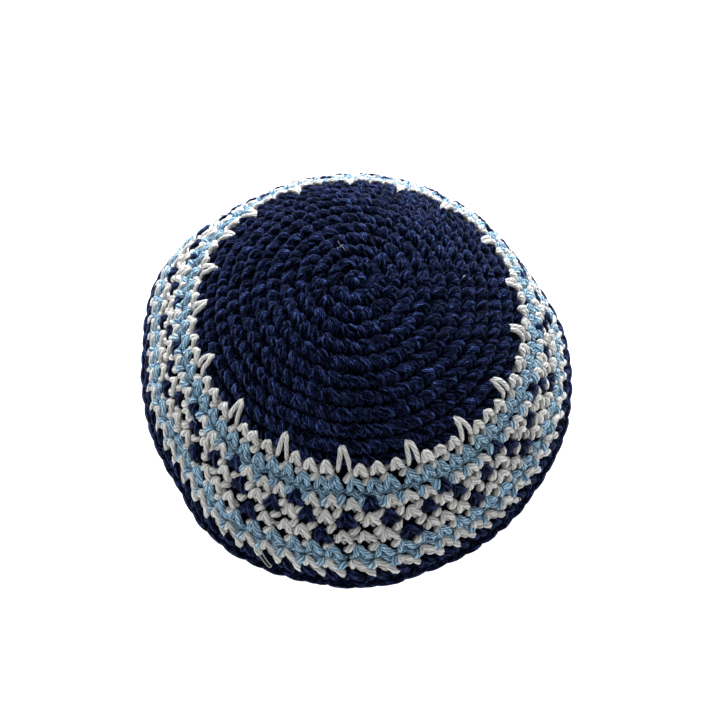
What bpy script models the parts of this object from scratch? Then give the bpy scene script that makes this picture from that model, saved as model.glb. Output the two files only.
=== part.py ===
"""A crocheted skullcap, worked in rounds from the middle of its crown down to the rim.

Metres, +Z up. The cap stands on its open rim, as it does on a table: the origin is the middle of
the rim's box, level with its underside, and the front is towards -Y.
"""

import math
from typing import NamedTuple

import bpy

# The cloth
ROUND_HEIGHT = 0.0061  # one round of stitches, measured along the cloth
WALL = 0.004  # from the outer face of the stitches to the inner face
RIB_DEPTH = 0.0008  # the groove between two rounds, below the crests of the stitches
HEM_HEIGHT = 0.0024  # the edge turned under, below the last full round
HEM_GROOVE = 0.0005  # the groove between the last round and the hem
HEM_CURVE = 0.0007  # how far the hem rounds in at the surface that it stands on
BAND_GAP = 0.0003  # clearance between one band and the next

# The dome, which falls off from level at the middle to this slope at the rim
RIM_SLOPE = math.radians(72)
SLOPE_EASE = 0.84  # under 1 the crown rounds off early, over 1 it stays level for longer

# How finely the shapes are cut
TURN_STEPS = 48
LINE_STEPS = 120
INNER_STEP_ROUNDS = 2
SHARP_ANGLE = math.radians(50)


class Yarn(NamedTuple):
    """A cotton yarn: its linear colour and its roughness."""

    colour: tuple
    roughness: float


NAVY = Yarn((0.012, 0.017, 0.062), 0.85)
WHITE = Yarn((0.68, 0.66, 0.62), 0.8)
BLUE = Yarn((0.19, 0.38, 0.60), 0.8)


class Band(NamedTuple):
    """The rounds that one yarn makes before the next yarn takes over."""

    name: str
    rounds: int
    yarn: Yarn


BANDS = (
    Band("crown", 11, NAVY),
    Band("spike_round", 1, WHITE),
    Band("upper_blue_round", 1, BLUE),
    Band("motif_band", 3, WHITE),
    Band("lower_blue_round", 1, BLUE),
    Band("white_round", 1, WHITE),
    Band("edge_round", 1, NAVY),
)


class Pull(NamedTuple):
    """How far the soft cloth lies out of round in one direction, in shares of the rim's radius."""

    crown: float
    rim: float


# Anticlockwise seen from above, one row every 30 degrees, starting at the front.
PULLS = (
    Pull(crown=0.000, rim=0.065),
    Pull(crown=0.020, rim=0.030),
    Pull(crown=0.035, rim=0.000),
    Pull(crown=0.015, rim=-0.020),
    Pull(crown=-0.005, rim=-0.055),
    Pull(crown=-0.020, rim=-0.020),
    Pull(crown=-0.015, rim=0.000),
    Pull(crown=-0.005, rim=0.000),
    Pull(crown=0.000, rim=0.040),
    Pull(crown=-0.020, rim=-0.025),
    Pull(crown=-0.030, rim=-0.020),
    Pull(crown=-0.010, rim=0.055),
)

# Where the pulls act, in shares of the dome's height: the crown's pull is full at its middle and
# dies out upwards and downwards, and the rim's is full up to its top and dies out above it.
CROWN_MIDDLE = 0.62
CROWN_REACH_UP = 0.38
CROWN_REACH_DOWN = 0.50
RIM_TOP = 0.12
RIM_REACH_UP = 0.50
CROWN_OUT = 0.62  # the crown's pull is partly outwards
CROWN_UP = 0.78  # and partly upwards


class Dome:
    """The line of the cloth's outer face in the plane of the axis, from the crown to the rim."""

    def __init__(self):
        """Steps down the line, with its slope growing from level to RIM_SLOPE."""
        self.length = sum(band.rounds for band in BANDS) * ROUND_HEIGHT + HEM_HEIGHT
        self.step = self.length / LINE_STEPS
        radius, drop = 0.0, 0.0
        line = [(radius, drop)]
        for i in range(LINE_STEPS):
            slope = self.slope((i + 0.5) * self.step)
            radius += self.step * math.cos(slope)
            drop += self.step * math.sin(slope)
            line.append((radius, drop))
        self.rim_radius = radius
        self.height = drop
        self.line = [(r, drop - d) for r, d in line]

    def slope(self, arc):
        """Returns the cloth's slope at a distance down the line from the crown's middle."""
        return RIM_SLOPE * (arc / self.length) ** SLOPE_EASE

    def point(self, arc, depth):
        """Returns the radius and height of a point that lies a depth under the outer face."""
        place = min(max(arc / self.step, 0.0), LINE_STEPS - 1e-6)
        i = int(place)
        share = place - i
        (r0, z0), (r1, z1) = self.line[i], self.line[i + 1]
        slope = self.slope(arc)
        radius = r0 + (r1 - r0) * share - depth * math.sin(slope)
        return radius, z0 + (z1 - z0) * share - depth * math.cos(slope)

    def arc_at(self, height, depth):
        """Returns the distance down the line at which a depth under it reaches a height."""
        low, high = 0.0, self.length
        for _ in range(40):
            middle = (low + high) / 2
            if self.point(middle, depth)[1] > height:
                low = middle
            else:
                high = middle
        return low


def blend(share):
    """Returns a smooth rise from 0 to 1 as the share goes from 0 to 1."""
    return (1 - math.cos(math.pi * min(max(share, 0.0), 1.0))) / 2


def pull_at(angle):
    """Returns the crown's and the rim's pull in a direction, smoothly between the table's rows."""
    place = angle / math.tau * len(PULLS)
    i = math.floor(place)
    share = blend(place - i)
    here, there = PULLS[i % len(PULLS)], PULLS[(i + 1) % len(PULLS)]
    return Pull(*(a + (b - a) * share for a, b in zip(here, there)))


def pull_out_of_round(mesh, dome):
    """Moves a turned band's points to where the soft cloth lies."""
    for vertex in mesh.vertices:
        x, y, z = vertex.co
        radius = math.hypot(x, y)
        if radius < ROUND_HEIGHT / 100:
            continue
        up = z / dome.height
        reach = CROWN_REACH_UP if up > CROWN_MIDDLE else CROWN_REACH_DOWN
        crown_share = 1 - blend(abs(up - CROWN_MIDDLE) / reach)
        rim_share = 1 - blend((up - RIM_TOP) / RIM_REACH_UP)
        pull = pull_at(math.atan2(x, -y))
        crown = pull.crown * crown_share * dome.rim_radius
        rim = pull.rim * rim_share * dome.rim_radius
        factor = (radius + CROWN_OUT * crown + rim) / radius
        vertex.co = (x * factor, y * factor, z + CROWN_UP * crown)


def ribbed_line(dome, start, end, rounds):
    """Returns the outer face of a band: a crest for each round and a groove between two."""
    points = []
    for i in range(rounds * 3 + 1):
        share = i / (rounds * 3)
        groove = 1 - math.sin(math.pi * (i % 3) / 3)
        points.append(dome.point(start + (end - start) * share, RIB_DEPTH * groove))
    return points


def hem_line(dome, start):
    """Returns the outside of the hem and its flat underside, from the last groove inwards."""
    last_round = start + ROUND_HEIGHT
    rim_outside, _ = dome.point(dome.length, 0)
    inner_edge, _ = dome.point(dome.arc_at(0, WALL), WALL)
    return [
        dome.point(last_round, HEM_GROOVE),
        dome.point(last_round + HEM_HEIGHT / 2, 0),
        (rim_outside - HEM_CURVE, 0.0),
        (inner_edge, 0.0),
    ]


def inner_line(dome, start, end, rounds):
    """Returns the inner face of a band, from its lower edge up."""
    steps = max(1, math.ceil(rounds / INNER_STEP_ROUNDS))
    return [dome.point(end + (start - end) * i / steps, WALL) for i in range(steps + 1)]


def band_profile(dome, band, start):
    """Returns a band's cross-section at +X: down its outer face and back up its inner face."""
    end = start + band.rounds * ROUND_HEIGHT
    top = start + BAND_GAP / 2 if start else 0.0
    if band is BANDS[-1]:
        outer = ribbed_line(dome, top, end, band.rounds)[:-1] + hem_line(dome, start)
        return outer + inner_line(dome, top, end, band.rounds)
    bottom = end - BAND_GAP / 2
    outer = ribbed_line(dome, top, bottom, band.rounds)
    if not start:
        outer[0] = dome.point(0, 0)
    return outer + inner_line(dome, top, bottom, band.rounds)


def cotton(name, yarn):
    """Returns a matt cotton material."""
    material = bpy.data.materials.new(name)
    material.use_nodes = True
    shader = material.node_tree.nodes["Principled BSDF"]
    shader.inputs["Base Color"].default_value = (*yarn.colour, 1.0)
    shader.inputs["Roughness"].default_value = yarn.roughness
    shader.inputs["Metallic"].default_value = 0.0
    return material


def turned(name, profile, closed, collection):
    """Turns a cross-section about the cap's axis with a Screw modifier and returns its mesh."""
    mesh = bpy.data.meshes.new(name + "_profile")
    edges = [(i, i + 1) for i in range(len(profile) - 1)]
    if closed:
        edges.append((len(profile) - 1, 0))
    mesh.from_pydata([(r, 0.0, z) for r, z in profile], edges, [])
    turning = bpy.data.objects.new(name + "_turning", mesh)
    collection.objects.link(turning)
    screw = turning.modifiers.new("Turn", "SCREW")
    screw.axis = "Z"
    screw.angle = math.tau
    screw.steps = TURN_STEPS
    screw.render_steps = TURN_STEPS
    screw.use_merge_vertices = True
    screw.merge_threshold = 0.00001
    bpy.context.view_layer.update()
    evaluated = turning.evaluated_get(bpy.context.evaluated_depsgraph_get())
    body = bpy.data.meshes.new_from_object(evaluated)
    body.name = name
    bpy.data.objects.remove(turning)
    bpy.data.meshes.remove(mesh)
    return body


def middle(values):
    """Returns the value halfway between the least and the greatest."""
    return (min(values) + max(values)) / 2


def build():
    """Builds every band of the cap, from the crown to the edge, with its rim about the origin."""
    for old in list(bpy.data.objects):
        bpy.data.objects.remove(old, do_unlink=True)
    parts = bpy.data.collections.new("skullcap")
    bpy.context.scene.collection.children.link(parts)
    axis = bpy.data.objects.new("dome_axis", None)
    axis.empty_display_size = WALL
    parts.objects.link(axis)
    dome = Dome()
    start = 0.0
    for band in BANDS:
        body = turned(band.name, band_profile(dome, band, start), start > 0, parts)
        pull_out_of_round(body, dome)
        body.materials.append(cotton(band.name + "_cotton", band.yarn))
        body.shade_smooth()
        body.set_sharp_from_angle(angle=SHARP_ANGLE)
        part = bpy.data.objects.new(band.name, body)
        parts.objects.link(part)
        part.parent = axis
        start += band.rounds * ROUND_HEIGHT
    rim = parts.objects[BANDS[-1].name].data.vertices
    axis.location.x = -middle([vertex.co.x for vertex in rim])
    axis.location.y = -middle([vertex.co.y for vertex in rim])


build()
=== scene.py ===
"""A crocheted cotton skullcap, dressed stitch by stitch.

Every length of yarn that shows is a bent copy of a short modelled length, laid along the path that the
yarn takes in a single-crochet stitch. Metres, +Z up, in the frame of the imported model. A direction round
the cap is in degrees, 0 at the front (-Y) and growing towards +X. A place down the cap is in rounds, 0 at
the middle of the crown and 19 at the lower side of the last full round.
"""

import logging
import math
from dataclasses import dataclass, field, replace
from enum import Enum
from typing import ClassVar

import bmesh
import bpy
import numpy as np
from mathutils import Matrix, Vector


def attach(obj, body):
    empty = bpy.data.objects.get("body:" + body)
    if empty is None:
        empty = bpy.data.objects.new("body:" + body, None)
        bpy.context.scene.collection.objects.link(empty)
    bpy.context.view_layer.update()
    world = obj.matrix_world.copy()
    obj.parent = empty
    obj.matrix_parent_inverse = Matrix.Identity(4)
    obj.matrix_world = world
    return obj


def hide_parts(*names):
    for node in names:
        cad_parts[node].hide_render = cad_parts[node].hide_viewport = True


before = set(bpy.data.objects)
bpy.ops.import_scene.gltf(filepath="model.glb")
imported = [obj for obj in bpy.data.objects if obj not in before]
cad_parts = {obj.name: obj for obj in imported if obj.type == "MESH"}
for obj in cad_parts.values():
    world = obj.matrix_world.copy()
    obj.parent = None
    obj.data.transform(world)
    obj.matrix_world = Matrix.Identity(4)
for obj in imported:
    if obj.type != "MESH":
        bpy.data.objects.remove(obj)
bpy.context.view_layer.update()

log = logging.getLogger("skullcap")
MM = 0.001

Colour = tuple[float, float, float]
Five = tuple[float, float, float, float, float]
Tree = bpy.types.NodeTree
Socket = bpy.types.NodeSocket


class Yarn(Enum):
    """The three cotton yarns, and the navy one with painted shade where it is carried inside the cloth."""

    NAVY = "navy_cotton"
    WHITE = "white_cotton"
    BLUE = "blue_cotton"
    CARRIED = "navy_cotton_in_painted_shade"


@dataclass(frozen=True)
class YarnFinish:
    """The look of one plied cotton yarn, read from the yarn's own length and turn.

    top is the plies' colour, groove the painted shade between them and fibre the painted highlight of single
    fibres where they catch the light. plies is how many ridges go round the yarn, and twist how far they
    turn in one thickness of its length. crease and sharpness narrow the plies' tops, and fineness is how
    often the fibres repeat round the yarn. streaks is how much the strands differ. Yarn that lies deep in
    the cloth is darkened with painted
    shade: shade is what is left of the colour at painted_shade_at millimetres in the cloth.
    """

    yarn: Yarn
    top: Colour
    groove_shade: Colour
    fibre: Colour
    roughness: float
    specular: float
    sheen: float
    sharpness: float = 0.8
    plies: float = 5.0
    twist: float = 0.55
    crease: float = 1.0
    relief: float = 0.0003
    streaks: float = 0.75
    shade: float = 0.4
    painted_shade_at: float = 2.2
    fineness: float = 15.0
    fibre_run: float = 1.6
    fibre_relief: float = 0.35
    strands: tuple[float, float] = (0.9, 9.0)
    strand_peak: float = 1.37
    noise_span: tuple[float, float] = (0.3, 0.7)
    noise_detail: float = 2.0
    painted_shade_from: float = 0.2
    tone_spread: float = 0.16
    sheen_tint: Colour = (1.0, 1.0, 1.0)
    sheen_roughness: float = 0.45

    def material(self) -> bpy.types.Material:
        """Builds the node material.

        Returns:
            A material with plies, fibres with painted highlights, painted shade in the ply grooves and deep
            in the cloth, and a tone that differs from one length of yarn to the next.
        """
        material = bpy.data.materials.new(self.yarn.value)
        material.use_nodes = True
        tree = material.node_tree
        shader = tree.nodes["Principled BSDF"]
        shader.inputs["Roughness"].default_value = self.roughness
        shader.inputs["Specular IOR Level"].default_value = self.specular
        shader.inputs["Specular Tint"].default_value = (*self.sheen_tint, 1.0)
        shader.inputs["Sheen Weight"].default_value = self.sheen
        shader.inputs["Sheen Roughness"].default_value = self.sheen_roughness
        shader.inputs["Sheen Tint"].default_value = (*self.sheen_tint, 1.0)
        uv = tree.nodes.new("ShaderNodeUVMap")
        uv.uv_map = "yarn"
        tone, depth = (tree.nodes.new("ShaderNodeAttribute") for _ in range(2))
        tone.attribute_name, depth.attribute_name = "tone", "depth"

        plies = self._math(tree, "POWER", self._plies(tree, uv), self.crease)
        fibres = self._fibres(tree, uv, self.fibre_run, self.fineness)
        strands = self._fibres(tree, uv, *self.strands)

        shade = self._math(tree, "MULTIPLY_ADD", strands, self.streaks, self.strand_peak - self.streaks)
        height = self._math(tree, "MULTIPLY", plies, shade)
        cover = self._math(tree, "POWER", height, self.sharpness)
        # Painted shade: the grooves between the plies take the darker groove colour.
        body = self._mix(tree, cover, self.groove_shade, self.top)
        # Painted highlights: along the fibres, the bright fibre colour stands in for light that catches
        # them.
        glint = self._math(tree, "MULTIPLY", self._math(tree, "POWER", fibres, 2.0), cover)
        lit = self._mix(tree, glint, body, self.fibre)
        # Painted shade: the deeper a point lies in the cloth, the darker its colour, down to shade at
        # painted_shade_at millimetres.
        painted_shade = tree.nodes.new("ShaderNodeMapRange")
        painted_shade.interpolation_type = "SMOOTHSTEP"
        painted_shade.inputs["From Min"].default_value = self.painted_shade_from
        painted_shade.inputs["From Max"].default_value = self.painted_shade_at
        painted_shade.inputs["To Min"].default_value = 1.0
        painted_shade.inputs["To Max"].default_value = self.shade
        tree.links.new(depth.outputs["Fac"], painted_shade.inputs["Value"])
        # The random tone of each length and the painted shade set the colour's brightness.
        tone_and_painted_shade = tree.nodes.new("ShaderNodeHueSaturation")
        tree.links.new(lit, tone_and_painted_shade.inputs["Color"])
        value = self._math(tree, "MULTIPLY_ADD", tone.outputs["Fac"], self.tone_spread, 1.0)
        value = self._math(tree, "MULTIPLY", value, painted_shade.outputs["Result"])
        tree.links.new(value, tone_and_painted_shade.inputs["Value"])
        tree.links.new(tone_and_painted_shade.outputs["Color"], shader.inputs["Base Color"])

        fine = self._math(tree, "MULTIPLY_ADD", fibres, self.fibre_relief, height)
        bump = tree.nodes.new("ShaderNodeBump")
        bump.inputs["Strength"].default_value = 1.0
        bump.inputs["Distance"].default_value = self.relief
        tree.links.new(fine, bump.inputs["Height"])
        tree.links.new(bump.outputs["Normal"], shader.inputs["Normal"])
        return material

    def _plies(self, tree: Tree, uv: bpy.types.Node) -> Socket:
        """Makes the twisted plies as round ridges with sharp grooves.

        Args:
            tree: The material's nodes.
            uv: The node that gives the place along and round the yarn.

        Returns:
            The height of the plies, from 0 to 1.
        """
        place = tree.nodes.new("ShaderNodeSeparateXYZ")
        tree.links.new(uv.outputs["UV"], place.inputs[0])
        along = self._math(tree, "MULTIPLY", place.outputs["X"], self.twist * math.pi)
        turn = self._math(tree, "MULTIPLY_ADD", place.outputs["Y"], self.plies * math.pi, along)
        return self._math(tree, "ABSOLUTE", self._math(tree, "SINE", turn))

    def _fibres(self, tree: Tree, uv: bpy.types.Node, along: float, around: float) -> Socket:
        """Makes fibres that run along the plies.

        Args:
            tree: The material's nodes.
            uv: The node that gives the place along and round the yarn.
            along: How often the noise repeats in one thickness of the yarn's length.
            around: How often it repeats round the yarn.

        Returns:
            The fibres as a value from 0 to 1.
        """
        lean = tree.nodes.new("ShaderNodeMapping")
        lean.inputs["Rotation"].default_value = (0.0, 0.0, math.atan(self.twist / self.plies))
        lean.inputs["Scale"].default_value = (along, around, 1.0)
        noise = tree.nodes.new("ShaderNodeTexNoise")
        noise.inputs["Scale"].default_value = 1.0
        noise.inputs["Detail"].default_value = self.noise_detail
        tree.links.new(uv.outputs["UV"], lean.inputs["Vector"])
        tree.links.new(lean.outputs["Vector"], noise.inputs["Vector"])
        spread = tree.nodes.new("ShaderNodeMapRange")
        spread.inputs["From Min"].default_value, spread.inputs["From Max"].default_value = self.noise_span
        tree.links.new(noise.outputs["Fac"], spread.inputs["Value"])
        return spread.outputs["Result"]

    @staticmethod
    def _math(tree: Tree, operation: str, *values: Socket | float) -> Socket:
        """Adds a Math node.

        Args:
            tree: The material's nodes.
            operation: The node's operation.
            values: The values that it works on, in order.

        Returns:
            The node's result.
        """
        node = tree.nodes.new("ShaderNodeMath")
        node.operation = operation
        for i, value in enumerate(values):
            if isinstance(value, Socket):
                tree.links.new(value, node.inputs[i])
            else:
                node.inputs[i].default_value = value
        return node.outputs[0]

    @staticmethod
    def _mix(tree: Tree, share: Socket, low: Socket | Colour, high: Colour) -> Socket:
        """Blends two colours, which the node's inputs 6 and 7 and its output 2 are for.

        Args:
            tree: The material's nodes.
            share: How much of the second colour shows.
            low: The first colour.
            high: The second colour.

        Returns:
            The blended colour.
        """
        node = tree.nodes.new("ShaderNodeMix")
        node.data_type = "RGBA"
        tree.links.new(share, node.inputs[0])
        if isinstance(low, Socket):
            tree.links.new(low, node.inputs[6])
        else:
            node.inputs[6].default_value = (*low, 1.0)
        node.inputs[7].default_value = (*high, 1.0)
        return node.outputs[2]


FINISHES = {
    Yarn.NAVY: YarnFinish(
        Yarn.NAVY,
        top=(0.0010, 0.0021, 0.0155),
        groove_shade=(0.0001, 0.0002, 0.0006),
        fibre=(0.118, 0.200, 0.640),
        roughness=0.55,
        specular=0.03,
        sheen=0.42,
        sharpness=2.4,
        plies=13.0,
        twist=-3.4,
        streaks=1.55,
        shade=0.04,
        painted_shade_at=1.2,
        fineness=24.0,
        sheen_tint=(0.25, 0.38, 1.0),
        sheen_roughness=0.28,
    ),
    Yarn.WHITE: YarnFinish(
        Yarn.WHITE,
        top=(0.800, 0.800, 0.780),
        groove_shade=(0.190, 0.188, 0.180),
        fibre=(0.90, 0.905, 0.89),
        roughness=0.85,
        specular=0.2,
        sheen=0.05,
        twist=0.8,
        crease=0.5,
        relief=0.00035,
        shade=0.66,
    ),
    Yarn.BLUE: YarnFinish(
        Yarn.BLUE,
        top=(0.380, 0.740, 1.000),
        groove_shade=(0.012, 0.052, 0.140),
        fibre=(0.92, 1.00, 1.00),
        roughness=0.7,
        specular=0.15,
        sheen=0.0,
        sharpness=1.05,
        plies=6.0,
        twist=1.3,
        streaks=1.3,
        shade=0.6,
        fineness=19.0,
    ),
}

# How much thicker each yarn lies than the strands' own sizes say.
FULLNESS = {Yarn.NAVY: 1.2, Yarn.WHITE: 0.99, Yarn.BLUE: 1.12}

# The navy yarn with painted shade, for where it is carried inside the cloth: darker colours and less sheen.
SHADED_NAVY = replace(
    FINISHES[Yarn.NAVY],
    yarn=Yarn.CARRIED,
    top=(0.0004, 0.0007, 0.0030),
    fibre=(0.003, 0.006, 0.022),
    sheen=0.04,
    sharpness=1.0,
)


@dataclass
class Dome:
    """The outer face of the cloth, the same as the solid part's.

    The pulls are shares of the rim's radius, one every 30 degrees from the front, by which the soft cloth
    lies out of round. wall is the cloth's thickness.
    """

    round_height: float = 0.0061
    rounds: int = 19
    hem_height: float = 0.0024
    wall: float = 0.004
    rim_slope: float = math.radians(72)
    slope_ease: float = 0.84
    crown_pulls: tuple[float, ...] = (
        *(0.0, 0.020, 0.035, 0.015, -0.005, -0.020),
        *(-0.015, -0.005, 0.0, -0.020, -0.030, -0.010),
    )
    rim_pulls: tuple[float, ...] = (
        *(0.065, 0.030, 0.0, -0.020, -0.055, -0.020),
        *(0.0, 0.0, 0.040, -0.025, -0.020, 0.055),
    )
    crown_middle: float = 0.62
    crown_reach_up: float = 0.38
    crown_reach_down: float = 0.50
    rim_top: float = 0.12
    rim_reach_up: float = 0.50
    crown_out: float = 0.62
    crown_up: float = 0.78
    line_steps: int = 120
    rim_steps: int = 48
    nearest: float = 0.15  # rounds from the middle, where no direction is steady
    reach_down: float = 0.1  # rounds to each side over which the slope is read
    reach_round: float = 0.5  # and degrees
    axis: np.ndarray = field(default_factory=lambda: np.zeros(3))

    def __post_init__(self) -> None:
        """Steps down the line of the dome and puts the middle of the rim's box at the origin."""
        self.length = self.rounds * self.round_height + self.hem_height
        step = self.length / self.line_steps
        self.arcs = np.arange(self.line_steps + 1) * step
        slopes = self.slope((np.arange(self.line_steps) + 0.5) * step)
        self.radii = np.concatenate([[0.0], np.cumsum(np.cos(slopes) * step)])
        drops = np.concatenate([[0.0], np.cumsum(np.sin(slopes) * step)])
        self.height = drops[-1]
        self.heights = self.height - drops
        rim_round = self.rounds + self.hem_height / self.round_height / 2
        rim = self.place(np.arange(self.rim_steps) * 360 / self.rim_steps, rim_round, 0.0)
        self.axis = -(rim.min(0) + rim.max(0)) / 2 * (1, 1, 0)

    def slope(self, arc: np.ndarray) -> np.ndarray:
        """Returns the cloth's slope at distances down the line."""
        return self.rim_slope * (np.clip(arc, 0, None) / self.length) ** self.slope_ease

    def place(self, angle: np.ndarray, down: np.ndarray, depth: np.ndarray) -> np.ndarray:
        """Finds points in the cloth.

        Args:
            angle: Directions round the cap, in degrees.
            down: Places down the cap, in rounds.
            depth: How far under the outer face, in metres.

        Returns:
            The points, with their coordinates in the last axis.
        """
        angle, down, depth = np.broadcast_arrays(*(np.asarray(a, dtype=float) for a in (angle, down, depth)))
        arc = down * self.round_height
        past = np.clip(arc - self.length, 0, None)
        slope = self.slope(arc)
        radius = np.interp(arc, self.arcs, self.radii) - depth * np.sin(slope) + past * np.cos(slope)
        height = np.interp(arc, self.arcs, self.heights) - depth * np.cos(slope) - past * np.sin(slope)
        up = height / self.height
        reach = np.where(up > self.crown_middle, self.crown_reach_up, self.crown_reach_down)
        crown = self.pull(angle, self.crown_pulls) * (1 - self.blend(abs(up - self.crown_middle) / reach))
        rim = self.pull(angle, self.rim_pulls) * (1 - self.blend((up - self.rim_top) / self.rim_reach_up))
        rim_radius = self.radii[-1]
        radius = radius + (self.crown_out * crown + rim) * rim_radius
        height = height + self.crown_up * crown * rim_radius
        turn = np.radians(angle)
        return np.stack([radius * np.sin(turn), -radius * np.cos(turn), height], -1) + self.axis

    def outward(self, angle: np.ndarray, down: np.ndarray) -> np.ndarray:
        """Finds the directions that point straight out of the cloth.

        Args:
            angle: Directions round the cap, in degrees.
            down: Places down the cap, in rounds.

        Returns:
            Vectors of length 1, with their coordinates in the last axis.
        """
        angle, down = np.asarray(angle), np.clip(down, self.nearest, None)
        step, turn = self.reach_down, self.reach_round
        along = self.place(angle, down + step, 0.0) - self.place(angle, down - step, 0.0)
        around = self.place(angle + turn, down, 0.0) - self.place(angle - turn, down, 0.0)
        normal = np.cross(along, around)
        return normal / np.linalg.norm(normal, axis=-1, keepdims=True)

    @staticmethod
    def blend(share: np.ndarray) -> np.ndarray:
        """Returns a smooth rise from 0 to 1 as the share goes from 0 to 1."""
        return (1 - np.cos(math.pi * np.clip(share, 0, 1))) / 2

    @staticmethod
    def pull(angle: np.ndarray, rows: tuple[float, ...]) -> np.ndarray:
        """Reads a table of pulls.

        Args:
            angle: Directions round the cap, in degrees.
            rows: The pull every 30 degrees, from the front.

        Returns:
            The pull in each direction, smoothly between the rows.
        """
        rows = np.asarray(rows)
        place = np.asarray(angle) / 360 * len(rows)
        low = np.floor(place).astype(int)
        share = Dome.blend(place - low)
        return rows[low % len(rows)] * (1 - share) + rows[(low + 1) % len(rows)] * share


@dataclass(frozen=True)
class Strand:
    """The path of one length of yarn in a stitch.

    across is in stitch widths from the stitch's middle, down in rounds below its top, and depth in
    millimetres from the cloth's outer face to the middle of the yarn.
    """

    across: Five
    down: Five
    depth: Five
    thickness: float
    flatness: float = 0.97


class Stitch(Enum):
    """The lengths of yarn that a stitch shows, with its crown end up."""

    LEFT_LEG = Strand(
        (-0.02, -0.08, -0.15, -0.22, -0.28),
        (-0.02, 0.08, 0.27, 0.50, 0.74),
        (1.7, 0.85, 0.65, 1.0, 2.5),
        2.15,
    )
    RIGHT_LEG = Strand(
        (-0.04, 0.08, 0.20, 0.32, 0.43),
        (-0.06, 0.03, 0.22, 0.49, 0.76),
        (1.6, 0.65, 0.55, 0.95, 2.5),
        2.2,
    )
    FRONT_LOOP = Strand(
        (0.15, 0.24, 0.34, 0.44, 0.53),
        (1.12, 1.04, 0.93, 0.82, 0.74),
        (2.2, 1.35, 1.0, 1.35, 2.2),
        2.6,
    )
    BACK_LOOP = Strand(
        (-0.08, 0.02, 0.12, 0.22, 0.32),
        (0.56, 0.66, 0.77, 0.88, 0.98),
        (2.5, 1.95, 1.65, 1.7, 2.3),
        2.1,
    )
    LUMP = Strand(
        (0.12, 0.23, 0.34, 0.45, 0.55),
        (1.18, 1.09, 0.99, 0.88, 0.79),
        (2.5, 1.75, 1.5, 1.75, 2.5),
        2.95,
    )
    ROPE = Strand(
        (0.00, 0.15, 0.30, 0.45, 0.60),
        (0.72, 0.77, 0.87, 0.98, 1.04),
        (2.1, 1.15, 0.8, 1.05, 2.0),
        2.75,
    )
    NEXT_ROPE = Strand(
        (0.52, 0.62, 0.72, 0.82, 0.92),
        (0.74, 0.79, 0.88, 0.98, 1.04),
        (2.5, 1.95, 1.7, 1.9, 2.4),
        2.1,
    )
    FILL = Strand(
        (0.02, 0.04, 0.06, 0.09, 0.12),
        (0.20, 0.36, 0.52, 0.68, 0.84),
        (2.8, 2.45, 2.3, 2.4, 2.8),
        1.9,
    )
    UNDER = Strand(
        (-0.55, -0.25, 0.05, 0.35, 0.65),
        (0.46, 0.44, 0.42, 0.44, 0.46),
        (2.9, 2.75, 2.7, 2.75, 2.9),
        3.1,
    )
    SHORT_LEFT_LEG = Strand(
        (-0.08, -0.12, -0.17, -0.20, -0.22),
        (-0.10, 0.03, 0.18, 0.34, 0.50),
        (1.6, 0.9, 0.7, 0.9, 1.7),
        2.2,
    )
    SHORT_RIGHT_LEG = Strand(
        (-0.02, 0.10, 0.21, 0.31, 0.39),
        (-0.14, -0.03, 0.11, 0.29, 0.48),
        (1.4, 0.65, 0.5, 0.7, 1.6),
        2.3,
    )
    TIP = Strand(
        (0.31, 0.41, 0.51, 0.59, 0.64),
        (0.60, 0.78, 0.96, 1.12, 1.22),
        (1.7, 1.0, 0.75, 1.15, 3.2),
        2.9,
    )
    LONG_LEFT_LEG = Strand(
        (0.02, -0.07, -0.13, -0.20, -0.30),
        (-1.04, -0.97, -0.50, 0.05, 0.68),
        (2.6, 0.0, -0.75, -0.40, 2.1),
        1.8,
    )
    LONG_RIGHT_LEG = Strand(
        (0.0, 0.10, 0.27, 0.36, 0.44),
        (-1.03, -0.96, -0.58, 0.00, 0.72),
        (2.6, -0.1, -0.80, -0.45, 2.1),
        1.85,
    )
    INNER_BUMP = Strand(
        (-0.60, -0.30, 0.0, 0.30, 0.60),
        (0.64, 0.50, 0.46, 0.50, 0.64),
        (3.0, 3.25, 3.35, 3.25, 3.0),
        1.7,
    )
    INNER_LEFT = Strand(
        (-0.34, -0.26, -0.18, -0.12, -0.06),
        (1.02, 0.90, 0.78, 0.66, 0.54),
        (3.0, 3.2, 3.25, 3.2, 3.0),
        1.6,
    )
    INNER_RIGHT = Strand(
        (0.34, 0.28, 0.20, 0.14, 0.08),
        (1.02, 0.90, 0.78, 0.66, 0.54),
        (3.0, 3.2, 3.25, 3.2, 3.0),
        1.6,
    )
    EDGE_LOOP = Strand(
        (-0.25, 0.08, 0.40, 0.72, 1.05),
        (0.99, 1.00, 1.03, 1.01, 0.98),
        (1.0, 0.55, 0.35, 0.5, 1.0),
        2.4,
    )
    EDGE_UNDER = Strand(
        (-0.10, 0.25, 0.55, 0.85, 1.15),
        (1.02, 1.05, 1.05, 1.05, 1.02),
        (3.0, 2.8, 2.7, 2.8, 3.0),
        2.1,
    )


# The strands that a stitch of each kind shows, and those that move together.
OUTER = (Stitch.UNDER, Stitch.BACK_LOOP, Stitch.FRONT_LOOP, Stitch.LEFT_LEG, Stitch.RIGHT_LEG)
INNER = (Stitch.INNER_BUMP, Stitch.INNER_LEFT, Stitch.INNER_RIGHT)
SPIKE = (Stitch.LUMP, Stitch.LONG_LEFT_LEG, Stitch.LONG_RIGHT_LEG)
OPEN = (Stitch.UNDER, Stitch.FILL, Stitch.LUMP, Stitch.LEFT_LEG, Stitch.RIGHT_LEG)
CROWNED = (Stitch.ROPE, Stitch.NEXT_ROPE, Stitch.SHORT_LEFT_LEG, Stitch.SHORT_RIGHT_LEG)
TIPPED = (Stitch.UNDER, Stitch.BACK_LOOP, Stitch.TIP, Stitch.LEFT_LEG, Stitch.RIGHT_LEG)
LEGS = (Stitch.LEFT_LEG, Stitch.RIGHT_LEG, Stitch.FILL)
BODY = (*LEGS, Stitch.UNDER)
LOOPS = (Stitch.FRONT_LOOP, Stitch.BACK_LOOP)


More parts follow.
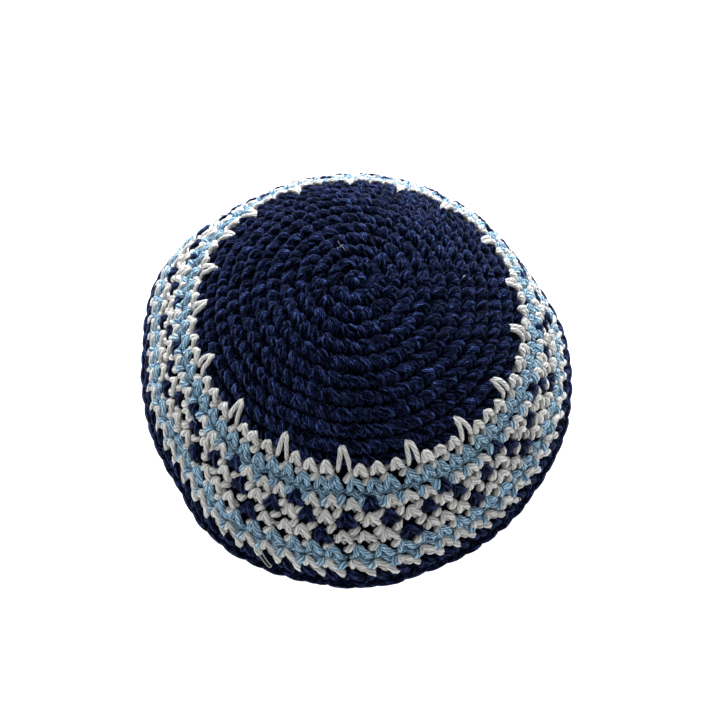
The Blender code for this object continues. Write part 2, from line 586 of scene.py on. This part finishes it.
class YarnLength:
    """A short length of yarn, modelled once and bent along many strands."""

    END_WIDTH: ClassVar[float] = 0.62
    NEXT_WIDTH: ClassVar[float] = 0.93
    SAME_HEIGHT: ClassVar[float] = 0.01

    def __init__(self, sides: int, spans: int) -> None:
        """Models the length.

        Args:
            sides: Faces round the yarn.
            spans: Faces along it.
        """
        bpy.ops.object.select_all(action="DESELECT")
        bpy.ops.mesh.primitive_cylinder_add(vertices=sides, radius=0.5, depth=1.0, end_fill_type="NGON")
        yarn = bpy.context.object
        bpy.ops.object.mode_set(mode="EDIT")
        bpy.ops.mesh.select_mode(type="EDGE")
        bpy.ops.mesh.select_all(action="DESELECT")
        cage = bmesh.from_edit_mesh(yarn.data)
        for edge in cage.edges:
            low, high = edge.verts
            edge.select_set(abs(low.co.z - high.co.z) > 0.5)
        bmesh.update_edit_mesh(yarn.data)
        bpy.ops.mesh.subdivide(number_cuts=spans - 1)
        self._narrow(yarn, 0.5, self.END_WIDTH)
        self._narrow(yarn, 0.5 - 1 / spans, self.NEXT_WIDTH)
        bpy.ops.object.mode_set(mode="OBJECT")
        self._read(yarn.data, sides, spans)
        bpy.data.objects.remove(yarn, do_unlink=True)

    def _narrow(self, yarn: bpy.types.Object, height: float, share: float) -> None:
        """Scales the two rings at a distance from the middle.

        Args:
            yarn: The length of yarn, in edit mode.
            height: The rings' distance from the middle.
            share: What is left of their width.
        """
        bpy.ops.mesh.select_mode(type="VERT")
        bpy.ops.mesh.select_all(action="DESELECT")
        cage = bmesh.from_edit_mesh(yarn.data)
        for vertex in cage.verts:
            vertex.select_set(abs(abs(vertex.co.z) - height) < self.SAME_HEIGHT)
        bmesh.update_edit_mesh(yarn.data)
        bpy.ops.transform.resize(value=(share, share, 1.0))

    def _read(self, mesh: bpy.types.Mesh, sides: int, spans: int) -> None:
        """Keeps the length's shape as arrays.

        Args:
            mesh: The modelled length.
            sides: Faces round it.
            spans: Faces along it.
        """
        self.rings = spans + 1
        points = np.array([vertex.co for vertex in mesh.vertices])
        self.section = points[:, :2]
        self.ring = np.rint((points[:, 2] + 0.5) * spans).astype(int)
        turns = np.arctan2(points[:, 1], points[:, 0]) / math.tau
        self.corners = np.array([loop.vertex_index for loop in mesh.loops])
        starts = [face.loop_start for face in mesh.polygons]
        self.totals = np.array([face.loop_total for face in mesh.polygons])
        self.turns = turns[self.corners]
        for start, total in zip(starts, self.totals):
            face = self.turns[start : start + total]
            if total == 4 and face.max() - face.min() > 0.5:
                self.turns[start : start + total] = np.where(face < 0, face + 1, face)


@dataclass
class Skein:
    """Lengths of yarn gathered into one mesh, in cloth that is wall thick."""

    TONE_SHARE: ClassVar[float] = 0.45
    LONGEST_OFFSET: ClassVar[float] = 40.0

    name: str
    wall: float
    gathered: dict[str, list[np.ndarray]] = field(default_factory=dict)
    yarns: list[Yarn] = field(default_factory=list)
    count: int = 0

    def lay(
        self,
        length: YarnLength,
        path: np.ndarray,
        outward: np.ndarray,
        thickness: np.ndarray,
        flatness: float,
        depth: np.ndarray,
        yarn: Yarn,
        chance: np.random.Generator,
    ) -> None:
        """Bends copies of a length of yarn along paths.

        Args:
            length: The modelled length.
            path: The middle of the yarn at each ring, for each copy.
            outward: The cloth's outward direction at the same places.
            thickness: The thickness of each copy, in metres.
            flatness: The yarn's height against its width.
            depth: How far the middle of the yarn lies under the cloth's outer face, in metres.
            yarn: Which yarn it is.
            chance: The source of small differences.
        """
        if not len(path):
            return
        run = np.gradient(path, axis=1)
        run /= np.linalg.norm(run, axis=-1, keepdims=True)
        rise = outward - (outward * run).sum(-1, keepdims=True) * run
        rise /= np.linalg.norm(rise, axis=-1, keepdims=True)
        side = np.cross(rise, run)
        ring, section = length.ring, length.section
        wide = section[None, :, 0, None] * thickness[:, None, None] * (2 - flatness)
        tall = section[None, :, 1, None] * thickness[:, None, None] * flatness
        points = path[:, ring] + side[:, ring] * wide + rise[:, ring] * tall
        points[..., 2] = np.maximum(points[..., 2], 0.0)
        steps = np.linalg.norm(np.diff(path, axis=1), axis=-1)
        along = np.concatenate([np.zeros((len(path), 1)), np.cumsum(steps, 1)], 1) / thickness[:, None]
        u = along[:, ring][:, length.corners] + chance.uniform(0, self.LONGEST_OFFSET, (len(path), 1))
        v = length.turns[None] + chance.uniform(0, 1, (len(path), 1))
        tone = chance.normal(0, self.TONE_SHARE, len(path)).clip(-1, 1)
        firsts = self.count + np.arange(len(path))[:, None] * len(ring)
        # The depth attribute, from the nearer face of the cloth, sets how much painted shade the yarn's
        # material puts on it.
        under = depth[:, ring] - tall[..., 0]
        if yarn not in self.yarns:
            self.yarns.append(yarn)
        arrays = dict(
            points=points.reshape(-1, 3),
            corners=(length.corners[None] + firsts).ravel(),
            totals=np.tile(length.totals, len(path)),
            uvs=np.stack([u, v], -1).reshape(-1, 2),
            tone=np.repeat(tone, len(ring)),
            depth=(np.minimum(under, self.wall - under) / MM).ravel(),
            slots=np.full(len(path) * len(length.totals), self.yarns.index(yarn)),
        )
        for name, array in arrays.items():
            self.gathered.setdefault(name, []).append(array)
        self.count += len(path) * len(ring)

    def piece(self, materials: dict[Yarn, bpy.types.Material]) -> bpy.types.Object:
        """Makes the gathered yarn one object.

        Args:
            materials: Each yarn's material.

        Returns:
            The object, at the origin.
        """
        whole = {name: np.concatenate(arrays) for name, arrays in self.gathered.items()}
        points, corners, totals = whole["points"], whole["corners"], whole["totals"]
        mesh = bpy.data.meshes.new(self.name)
        mesh.vertices.add(len(points))
        mesh.vertices.foreach_set("co", points.ravel())
        mesh.loops.add(len(corners))
        mesh.loops.foreach_set("vertex_index", corners)
        mesh.polygons.add(len(totals))
        mesh.polygons.foreach_set("loop_start", np.cumsum(totals) - totals)
        mesh.polygons.foreach_set("material_index", whole["slots"])
        mesh.polygons.foreach_set("use_smooth", np.ones(len(totals), dtype=bool))
        mesh.update(calc_edges=True)
        mesh.uv_layers.new(name="yarn").data.foreach_set("uv", whole["uvs"].ravel())
        for name in ("tone", "depth"):
            mesh.attributes.new(name, "FLOAT", "POINT").data.foreach_set("value", whole[name])
        for yarn in self.yarns:
            mesh.materials.append(materials[yarn])
        piece = bpy.data.objects.new(self.name, mesh)
        bpy.context.scene.collection.objects.link(piece)
        return piece


@dataclass(frozen=True)
class Spike:
    """A long stitch: its direction in degrees, and how many stitches on the next one stands."""

    direction: float
    stitches: int = 4


@dataclass(frozen=True)
class Row:
    """How far a round of the band lies from its even place: across in stitches, and down in rounds."""

    across: float
    down: float


@dataclass
class Columns:
    """The columns of stitches in the band, which the long stitches mark off unevenly."""

    rows: ClassVar[dict[int, Row]] = {
        12: Row(0.0, 0.0),
        13: Row(-0.3, 0.0),
        14: Row(-0.5, 0.14),
        15: Row(-0.68, 0.02),
        16: Row(-0.85, 0.18),
        17: Row(-1.2, 0.08),
        18: Row(-1.36, 0.04),
        19: Row(-1.5, 0.0),
    }

    spikes: tuple[Spike, ...] = (
        *map(Spike, (-5, 19, 38, 59, 82, 101, 122, 143, 162, 182, 203)),
        Spike(222, 2),
        Spike(235, 3),
        Spike(251, 3),
        *map(Spike, (266, 289, 312, 334)),
    )

    def __post_init__(self) -> None:
        """Counts the stitches up from the first spike."""
        self.firsts = np.cumsum([0] + [spike.stitches for spike in self.spikes])
        self.count = int(self.firsts[-1])
        directions = [spike.direction for spike in self.spikes]
        self.directions = np.array([*directions, directions[0] + 360])

    def angle(self, column: np.ndarray) -> np.ndarray:
        """Returns the directions of columns, which may lie between two stitches."""
        rounds = np.floor(column / self.count)
        return np.interp(column - rounds * self.count, self.firsts, self.directions) + rounds * 360

    def step_in_repeat(self, column: np.ndarray) -> np.ndarray:
        """Returns how many stitches each column stands after the last spike."""
        return column - self.firsts[np.searchsorted(self.firsts, column, side="right") - 1]


@dataclass
class Rounds:
    """The rounds of stitches that one yarn makes before the next takes over.

    node is the solid that they stand for, and numbers are the rounds. wander is how far a stitch may stand
    from its place, and top where it starts, in rounds. lean is in stitches for each round down. loop_drop
    moves the loops down, the rises move the loops and the legs outwards, and rib is how deep the groove
    between two rounds is, with its ridge at crest.
    """

    DEPTH_JITTER: ClassVar[float] = 0.07
    THICKNESS_SPREAD: ClassVar[float] = 0.05
    THICKNESS_LIMITS: ClassVar[tuple[float, float]] = (0.88, 1.12)

    dome: Dome
    materials: dict[Yarn, bpy.types.Material]
    columns: Columns
    outer_yarn: YarnLength
    inner_yarn: YarnLength
    long_yarn: YarnLength
    node: str
    numbers: tuple[int, ...]
    yarn: Yarn
    seed: int = 1
    wander: float = 0.06
    top: float = -0.75
    loop_drop: float = 0.0
    lean: float = 0.05
    fullness: float = 1.0
    loop_rise: float = 0.0
    leg_rise: float = 0.0
    rib: float = 0.0
    crest: float = 0.18
    strands: tuple[Stitch, ...] = OUTER

    def build(self) -> list[bpy.types.Object]:
        """Lays every stitch's yarn, outside and inside.

        Returns:
            The band's pieces.
        """
        chance = np.random.default_rng(self.seed)
        outside = Skein(self.node + "_stitches", self.dome.wall)
        inside = Skein(self.node + "_inner_loops", self.dome.wall)
        for number in self.numbers:
            stitches = np.arange(self.count(number))
            for strand in self.strands:
                self.lay(outside, self.outer_yarn, strand, number, self.plain(number, stitches), chance)
            for strand in INNER:
                self.lay(inside, self.inner_yarn, strand, number, stitches, chance, self.yarn)
            self.extras(outside, number, chance)
        return [self.dress(skein) for skein in (outside, inside)]

    def count(self, number: int) -> int:
        """Returns how many stitches a round has."""
        return self.columns.count

    def plain(self, number: int, stitches: np.ndarray) -> np.ndarray:
        """Returns the stitches of a round that have the usual legs."""
        return stitches

    def extras(self, skein: Skein, number: int, chance: np.random.Generator) -> None:
        """Lays what only this band has, which is nothing in most of them."""

    def angle(self, number: int, column: np.ndarray) -> np.ndarray:
        """Returns the directions of places in a round, counted in stitches."""
        return self.columns.angle(column + self.columns.rows[number].across)

    def start(self, number: int) -> float:
        """Returns where a round's stitches start, in rounds from the crown's middle."""
        return number + self.top + self.columns.rows[number].down

    def yarn_of(self, strand: Stitch, number: int, stitches: np.ndarray) -> dict[Yarn, np.ndarray]:
        """Sorts a round's stitches by the yarn that a strand has.

        Args:
            strand: Which strand of the stitch.
            number: The round.
            stitches: The stitches' numbers.

        Returns:
            For each yarn, the stitches that have it.
        """
        return {self.yarn: stitches}

    def lay(
        self,
        skein: Skein,
        length: YarnLength,
        strand: Stitch,
        number: int,
        stitches: np.ndarray,
        chance: np.random.Generator,
        only: Yarn | None = None,
    ) -> None:
        """Lays one strand of many stitches of a round.

        Args:
            skein: Where the yarn is gathered.
            length: The modelled length of yarn.
            strand: Which strand of the stitch.
            number: The round.
            stitches: The stitches' numbers.
            chance: The source of small differences.
            only: The yarn, where the stitch's own doesn't count.
        """
        path = strand.value
        groups = {only: stitches} if only else self.yarn_of(strand, number, stitches)
        for yarn, some in groups.items():
            rows = (path.across, path.down, path.depth)
            across, down, depth = (np.tile(np.array(row), (len(some), 1)) for row in rows)
            if strand is Stitch.UNDER:
                down = down + self.loop_drop
            if strand in LOOPS:
                start = float(strand is Stitch.FRONT_LOOP)
                down = down + self.loop_drop * np.linspace(start, 1, down.shape[1])
            across = across + self.lean * down
            shift = self.shifts(number)[some]
            across = across + shift[:, :1] + chance.normal(0, self.wander / 2, across.shape)
            down = down + shift[:, 1:] + chance.normal(0, self.wander / 2, down.shape)
            if strand in LEGS:
                depth = depth - self.leg_rise * np.clip(1 - down, 0, 1)
            if strand is Stitch.FRONT_LOOP:
                depth = depth - self.loop_rise
            depth = depth + self.rib * np.sin(math.pi * (down + self.top - self.crest)) ** 4
            depth = (depth + chance.normal(0, self.DEPTH_JITTER, depth.shape)) * MM
            column = self.smooth(across + some[:, None], length.rings)
            down = self.smooth(down, length.rings) + self.start(number)
            depth = self.smooth(depth, length.rings)
            angle = self.angle(number, column)
            spread = chance.normal(1, self.THICKNESS_SPREAD, len(some)).clip(*self.THICKNESS_LIMITS)
            thickness = path.thickness * self.fullness * FULLNESS[yarn] * MM * spread
            skein.lay(
                length,
                self.dome.place(angle, down, depth),
                self.dome.outward(angle, down),
                thickness,
                path.flatness,
                depth,
                yarn,
                chance,
            )

    def shifts(self, number: int) -> np.ndarray:
        """Returns how far each stitch of a round stands from its place, across and down."""
        chance = np.random.default_rng(self.seed * 100 + number)
        most = 2 * self.wander
        return chance.normal(0, self.wander, (self.count(number), 2)).clip(-most, most)

    @staticmethod
    def smooth(rows: np.ndarray, places: int) -> np.ndarray:
        """Reads a smooth curve through each row's five values.

        Args:
            rows: Five values for each copy.
            places: How many places to read, spread evenly.

        Returns:
            The values at those places, for each copy.
        """
        ends = np.concatenate([2 * rows[:, :1] - rows[:, 1:2], rows, 2 * rows[:, -1:] - rows[:, -2:-1]], 1)
        at = np.linspace(0, rows.shape[1] - 1, places)
        low = np.minimum(at.astype(int), rows.shape[1] - 2)
        t = at - low
        a, b, c, d = (ends[:, low + i] for i in range(4))
        return b + 0.5 * t * (c - a + t * (2 * a - 5 * b + 4 * c - d + t * (3 * (b - c) + d - a)))

    def dress(self, skein: Skein) -> bpy.types.Object:
        """Makes a skein a piece that stands for the band's solid.

        Args:
            skein: The gathered yarn.

        Returns:
            The piece.
        """
        piece = skein.piece(self.materials)
        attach(piece, "root")
        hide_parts(self.node)
        return piece


@dataclass
class Crown(Rounds):
    """The navy crown, which grows by six stitches a round.

    A round's stitches stand backstep of a stitch behind those below, and the two in one gap stand spread to
    each side of it. evenings is how often their distances are evened out.
    """

    growth: int = 6
    backstep: float = 0.28
    spread: float = 0.25
    evenings: int = 6

    def count(self, number: int) -> int:
        """Returns how many stitches a round has."""
        return self.growth * number

    def directions(self, number: int) -> np.ndarray:
        """Finds where a round's stitches stand: each in the gap between two below, and two where it grows.

        Args:
            number: The round.

        Returns:
            The direction of each stitch, in degrees.
        """
        if number == 1:
            return np.arange(self.growth) * 360 / self.growth
        below = self.directions(number - 1)
        pitch = 360 / len(below)
        grows = (np.arange(len(below)) + 2 * number) % (number - 1) == 0
        pairs, apart = below[grows], self.spread * pitch
        stitches = np.sort(np.concatenate([below[~grows], pairs - apart, pairs + apart]))
        for _ in range(self.evenings):
            before = np.concatenate([stitches[-1:] - 360, stitches[:-1]])
            after = np.concatenate([stitches[1:], stitches[:1] + 360])
            stitches = (before + 2 * stitches + after) / 4
        return stitches - self.backstep * pitch

    def angle(self, number: int, column: np.ndarray) -> np.ndarray:
        """Returns the directions of places in a round, counted in stitches."""
        stitches = self.directions(number)
        turns = np.floor(column / len(stitches))
        steps, closed = np.arange(len(stitches) + 1), np.append(stitches, stitches[0] + 360)
        return np.interp(column - turns * len(stitches), steps, closed) + turns * 360

    def start(self, number: int) -> float:
        """Returns where a round's stitches start, in rounds from the crown's middle."""
        return number + self.top


@dataclass
class SpikeRound(Rounds):
    """The white round with the long stitches, which are four columns apart in most places."""

    def plain(self, number: int, stitches: np.ndarray) -> np.ndarray:
        """Returns the stitches between the long ones."""
        return stitches[self.columns.step_in_repeat(stitches) > 0]

    def extras(self, skein: Skein, number: int, chance: np.random.Generator) -> None:
        """Lays the long stitches."""
        spikes = self.columns.firsts[:-1]
        for strand in SPIKE:
            self.lay(skein, self.long_yarn, strand, number, spikes, chance)


@dataclass
class MotifBand(Rounds):
    """The white rounds with navy stitches in them."""

    chart: tuple[tuple[int, ...], ...] = ((2,), (1, 3), (0,))

    def yarn_of(self, strand: Stitch, number: int, stitches: np.ndarray) -> dict[Yarn, np.ndarray]:
        """Sorts a round's stitches by the chart; the loops above a navy stitch are white."""
        if strand not in BODY:
            return {Yarn.WHITE: stitches}
        navy = np.isin(self.columns.step_in_repeat(stitches), self.chart[number - self.numbers[0]])
        return {Yarn.WHITE: stitches[~navy], Yarn.NAVY: stitches[navy]}


@dataclass
class EdgeRound(Rounds):
    """The navy round with the turned-under edge."""

    def extras(self, skein: Skein, number: int, chance: np.random.Generator) -> None:
        """Lays the loops of the edge."""
        for strand in (Stitch.EDGE_LOOP, Stitch.EDGE_UNDER):
            self.lay(skein, self.outer_yarn, strand, number, np.arange(self.count(number)), chance)


@dataclass(frozen=True)
class LooseFibre:
    """A fine fibre that lies on the cloth, through five places.

    angle is in degrees, down in rounds, and depth in millimetres under the cloth's outer face.
    """

    angle: Five
    down: Five
    depth: Five
    thickness: float
    yarn: Yarn = Yarn.WHITE


@dataclass
class LooseFibres:
    """The few fibres that have worked loose, among them a fine doubled thread at the front left."""

    dome: Dome
    materials: dict[Yarn, bpy.types.Material]
    yarn: YarnLength
    seed: int = 17
    fibres: tuple[LooseFibre, ...] = (
        LooseFibre(
            (334.0, 335.0, 336.3, 337.5, 338.6),
            (17.08, 17.46, 17.94, 18.36, 18.77),
            (-1.4, -2.0, -2.1, -1.9, -1.4),
            0.44,
        ),
        LooseFibre(
            (335.2, 336.2, 337.5, 338.7, 339.7),
            (16.98, 17.38, 17.85, 18.28, 18.66),
            (-1.4, -2.0, -2.1, -1.9, -1.4),
            0.44,
        ),
        LooseFibre(
            (338.5, 338.9, 339.2, 339.5, 339.7),
            (18.74, 18.81, 18.82, 18.77, 18.66),
            (-1.4, -1.4, -1.4, -1.4, -1.4),
            0.44,
        ),
        LooseFibre(
            (201.0, 201.6, 200.6, 198.9, 197.0),
            (2.90, 2.62, 2.38, 2.12, 1.85),
            (-0.6, -1.0, -1.0, -1.0, -0.7),
            0.15,
        ),
        LooseFibre(
            (208.0, 206.0, 203.5, 200.5, 196.5),
            (2.20, 2.36, 2.30, 2.42, 2.50),
            (-0.7, -1.0, -1.0, -1.0, -0.6),
            0.13,
        ),
        LooseFibre(
            (98.2, 98.5, 98.9, 99.2, 99.3),
            (6.72, 6.76, 6.80, 6.84, 6.9),
            (-1.0, -1.1, -1.1, -1.1, -1.0),
            0.35,
        ),
        LooseFibre(
            (298.5, 299.4, 300.4, 301.4, 302.2),
            (14.15, 13.98, 13.95, 13.98, 14.1),
            (0.2, -0.9, -1.1, -0.9, 0.2),
            0.45,
            Yarn.BLUE,
        ),
    )

    def build(self) -> bpy.types.Object:
        """Lays the fibres.

        Returns:
            The fibres, as one piece.
        """
        chance = np.random.default_rng(self.seed)
        skein = Skein("loose_fibres", self.dome.wall)
        for fibre in self.fibres:
            rows = (fibre.angle, fibre.down, fibre.depth)
            angle, down, depth = (Rounds.smooth(np.array([row]), self.yarn.rings) for row in rows)
            depth = depth * MM
            path, outward = self.dome.place(angle, down, depth), self.dome.outward(angle, down)
            thickness = np.array([fibre.thickness * MM])
            skein.lay(self.yarn, path, outward, thickness, 1.0, depth, fibre.yarn, chance)
        piece = skein.piece(self.materials)
        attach(piece, "root")
        return piece


@dataclass
class ClothCore:
    """The carried yarn inside the cloth, which closes it between the stitches, in navy darkened with painted
    shade.

    top and bottom are where it starts and ends, in rounds from the crown's middle.
    """

    dome: Dome
    finish: YarnFinish = SHADED_NAVY
    depth: float = 0.0022
    thickness: float = 0.0008
    steps_round: int = 144
    steps_down: int = 57
    top: float = 0.02
    bottom: float = 19.2
    weld: float = 0.00005

    def build(self) -> bpy.types.Object:
        """Bends a grid into the dome and gives it a thickness.

        Returns:
            The core, as one closed shell.
        """
        bpy.ops.object.select_all(action="DESELECT")
        across, up = self.steps_round, self.steps_down
        bpy.ops.mesh.primitive_grid_add(x_subdivisions=across, y_subdivisions=up, size=1)
        core = bpy.context.object
        core.name = core.data.name = "cloth_core"
        flat = np.empty(len(core.data.vertices) * 3)
        core.data.vertices.foreach_get("co", flat)
        flat = flat.reshape(-1, 3) + 0.5
        angle, down = flat[:, 0] * 360, self.bottom + (self.top - self.bottom) * flat[:, 1]
        points = self.dome.place(angle, down, self.depth)
        core.data.vertices.foreach_set("co", points.ravel())
        bpy.ops.object.mode_set(mode="EDIT")
        bpy.ops.mesh.select_all(action="SELECT")
        bpy.ops.mesh.remove_doubles(threshold=self.weld)
        bpy.ops.mesh.select_all(action="DESELECT")
        bpy.ops.mesh.select_mode(type="EDGE")
        cage = bmesh.from_edit_mesh(core.data)
        for edge in cage.edges:
            edge.select_set(edge.is_boundary and edge.verts[0].co.z > float(self.dome.height) / 2)
        bmesh.update_edit_mesh(core.data)
        bpy.ops.mesh.edge_face_add()
        bpy.ops.mesh.select_all(action="SELECT")
        bpy.ops.mesh.normals_make_consistent(inside=False)
        bpy.ops.object.mode_set(mode="OBJECT")
        solidify = core.modifiers.new("Thickness", "SOLIDIFY")
        solidify.thickness = self.thickness
        solidify.offset = -1
        bpy.ops.object.modifier_apply(modifier=solidify.name)
        bpy.ops.object.shade_smooth()
        core.data.materials.clear()
        core.data.materials.append(self.finish.material())
        layer = core.data.uv_layers[0]
        layer.name = "yarn"
        uvs = np.empty(len(core.data.loops) * 2)
        layer.data.foreach_get("uv", uvs)
        uvs = uvs.reshape(-1, 2) * (across, up / 2)
        layer.data.foreach_set("uv", uvs.ravel())
        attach(core, "root")
        return core


@dataclass(frozen=True)
class Lamp:
    """A square soft light: where it hangs, the length of its side in metres, and its power in watts."""

    name: str
    place: tuple[float, float, float]
    size: float
    power: float


@dataclass
class Studio:
    """The pale floor, the soft light and the camera."""

    dome: Dome
    lamps: tuple[Lamp, ...] = (
        Lamp("back_light", (0.1, 1.45, 0.9), 1.2, 52.0),
        Lamp("top_light", (-0.2, 0.8, 1.5), 1.6, 17.0),
    )
    room_light: float = 0.225
    floor_size: float = 6.0
    floor_height: float = -0.0001
    floor_tone: Colour = (0.7, 0.7, 0.7)
    floor_roughness: float = 0.9
    floor_glow: float = 1.15
    camera_place: tuple[float, float, float] = (0.0, -0.30515, 0.60115)
    camera_aim: tuple[float, float, float] = (0.00154, -0.01217, 0.029)
    lens: float = 85.28
    sensor: float = 36.0

    def build(self) -> None:
        """Sets up the floor, the lights and the camera."""
        self.floor()
        for lamp in self.lamps:
            self.light(lamp)
        self.sky()
        self.camera()

    def floor(self) -> None:
        """Lays a plain white floor under the cap."""
        bpy.ops.object.select_all(action="DESELECT")
        bpy.ops.mesh.primitive_plane_add(size=self.floor_size, location=(0, 0, self.floor_height))
        floor = bpy.context.object
        floor.name = "floor"
        paper = bpy.data.materials.new("white_paper")
        paper.use_nodes = True
        shader = paper.node_tree.nodes["Principled BSDF"]
        shader.inputs["Base Color"].default_value = (*self.floor_tone, 1.0)
        shader.inputs["Roughness"].default_value = self.floor_roughness
        shader.inputs["Emission Color"].default_value = (1.0, 1.0, 1.0, 1.0)
        shader.inputs["Emission Strength"].default_value = self.floor_glow
        floor.data.materials.append(paper)

    def light(self, lamp: Lamp) -> None:
        """Hangs a lamp so that it points at the cap.

        Args:
            lamp: The lamp.
        """
        light = bpy.data.lights.new(lamp.name, "AREA")
        light.size = lamp.size
        light.energy = lamp.power
        holder = bpy.data.objects.new(lamp.name, light)
        holder.location = lamp.place
        holder.rotation_euler = (-Vector(lamp.place)).to_track_quat("-Z", "Y").to_euler()
        bpy.context.scene.collection.objects.link(holder)

    def sky(self) -> None:
        """Gives the even light of a white room."""
        world = bpy.data.worlds.new("white_room")
        world.use_nodes = True
        shade = world.node_tree.nodes["Background"]
        shade.inputs["Color"].default_value = (1.0, 1.0, 1.0, 1.0)
        shade.inputs["Strength"].default_value = self.room_light
        bpy.context.scene.world = world
        bpy.context.scene.view_settings.view_transform = "Standard"

    def camera(self) -> None:
        """Places the camera where the photographer stood."""
        lens = bpy.data.cameras.new("camera")
        lens.lens = self.lens
        lens.sensor_width = self.sensor
        camera = bpy.data.objects.new("camera", lens)
        place = Vector(self.camera_place) + Vector(self.dome.axis)
        aim = Vector(self.camera_aim) + Vector(self.dome.axis)
        camera.location = place
        camera.rotation_euler = (aim - place).to_track_quat("-Z", "Y").to_euler()
        bpy.context.scene.collection.objects.link(camera)
        bpy.context.scene.camera = camera


def main() -> None:
    """Builds the skullcap's bands in order, then the studio."""
    logging.basicConfig(level=logging.INFO, format="%(name)s: %(message)s")
    dome = Dome()
    materials = {yarn: finish.material() for yarn, finish in FINISHES.items()}
    outer_yarn, inner_yarn, long_yarn = YarnLength(8, 6), YarnLength(6, 4), YarnLength(8, 10)
    shared: dict[str, object] = dict(
        dome=dome,
        materials=materials,
        columns=Columns(),
        outer_yarn=outer_yarn,
        inner_yarn=inner_yarn,
        long_yarn=long_yarn,
    )
    navy, white, blue = (dict(shared, yarn=yarn) for yarn in (Yarn.NAVY, Yarn.WHITE, Yarn.BLUE))
    ribbed_navy = dict(navy, fullness=1.05, rib=2.2, wander=0.055)
    raised_blue = dict(blue, loop_rise=0.2)
    bands = (
        Crown(node="crown", numbers=tuple(range(1, 12)), seed=3, strands=CROWNED, **ribbed_navy),
        SpikeRound(node="spike_round", numbers=(12,), seed=5, leg_rise=1.3, strands=OPEN, **white),
        Rounds(node="upper_blue_round", numbers=(13,), seed=7, loop_drop=0.4, **raised_blue),
        MotifBand(node="motif_band", numbers=(14, 15, 16), seed=9, strands=OPEN, **white),
        Rounds(node="lower_blue_round", numbers=(17,), seed=11, loop_drop=0.36, lean=0.14, **raised_blue),
        Rounds(node="white_round", numbers=(18,), seed=13, lean=0.22, strands=TIPPED, **white),
        EdgeRound(node="edge_round", numbers=(19,), seed=15, lean=0.25, **navy),
    )
    pieces = [piece for band in bands for piece in band.build()]
    pieces.append(LooseFibres(dome, materials, long_yarn).build())
    pieces.append(ClothCore(dome).build())
    for piece in pieces:
        log.info("%s: %d faces", piece.name, len(piece.data.polygons))
    Studio(dome).build()


if __name__ == "__main__":
    main()
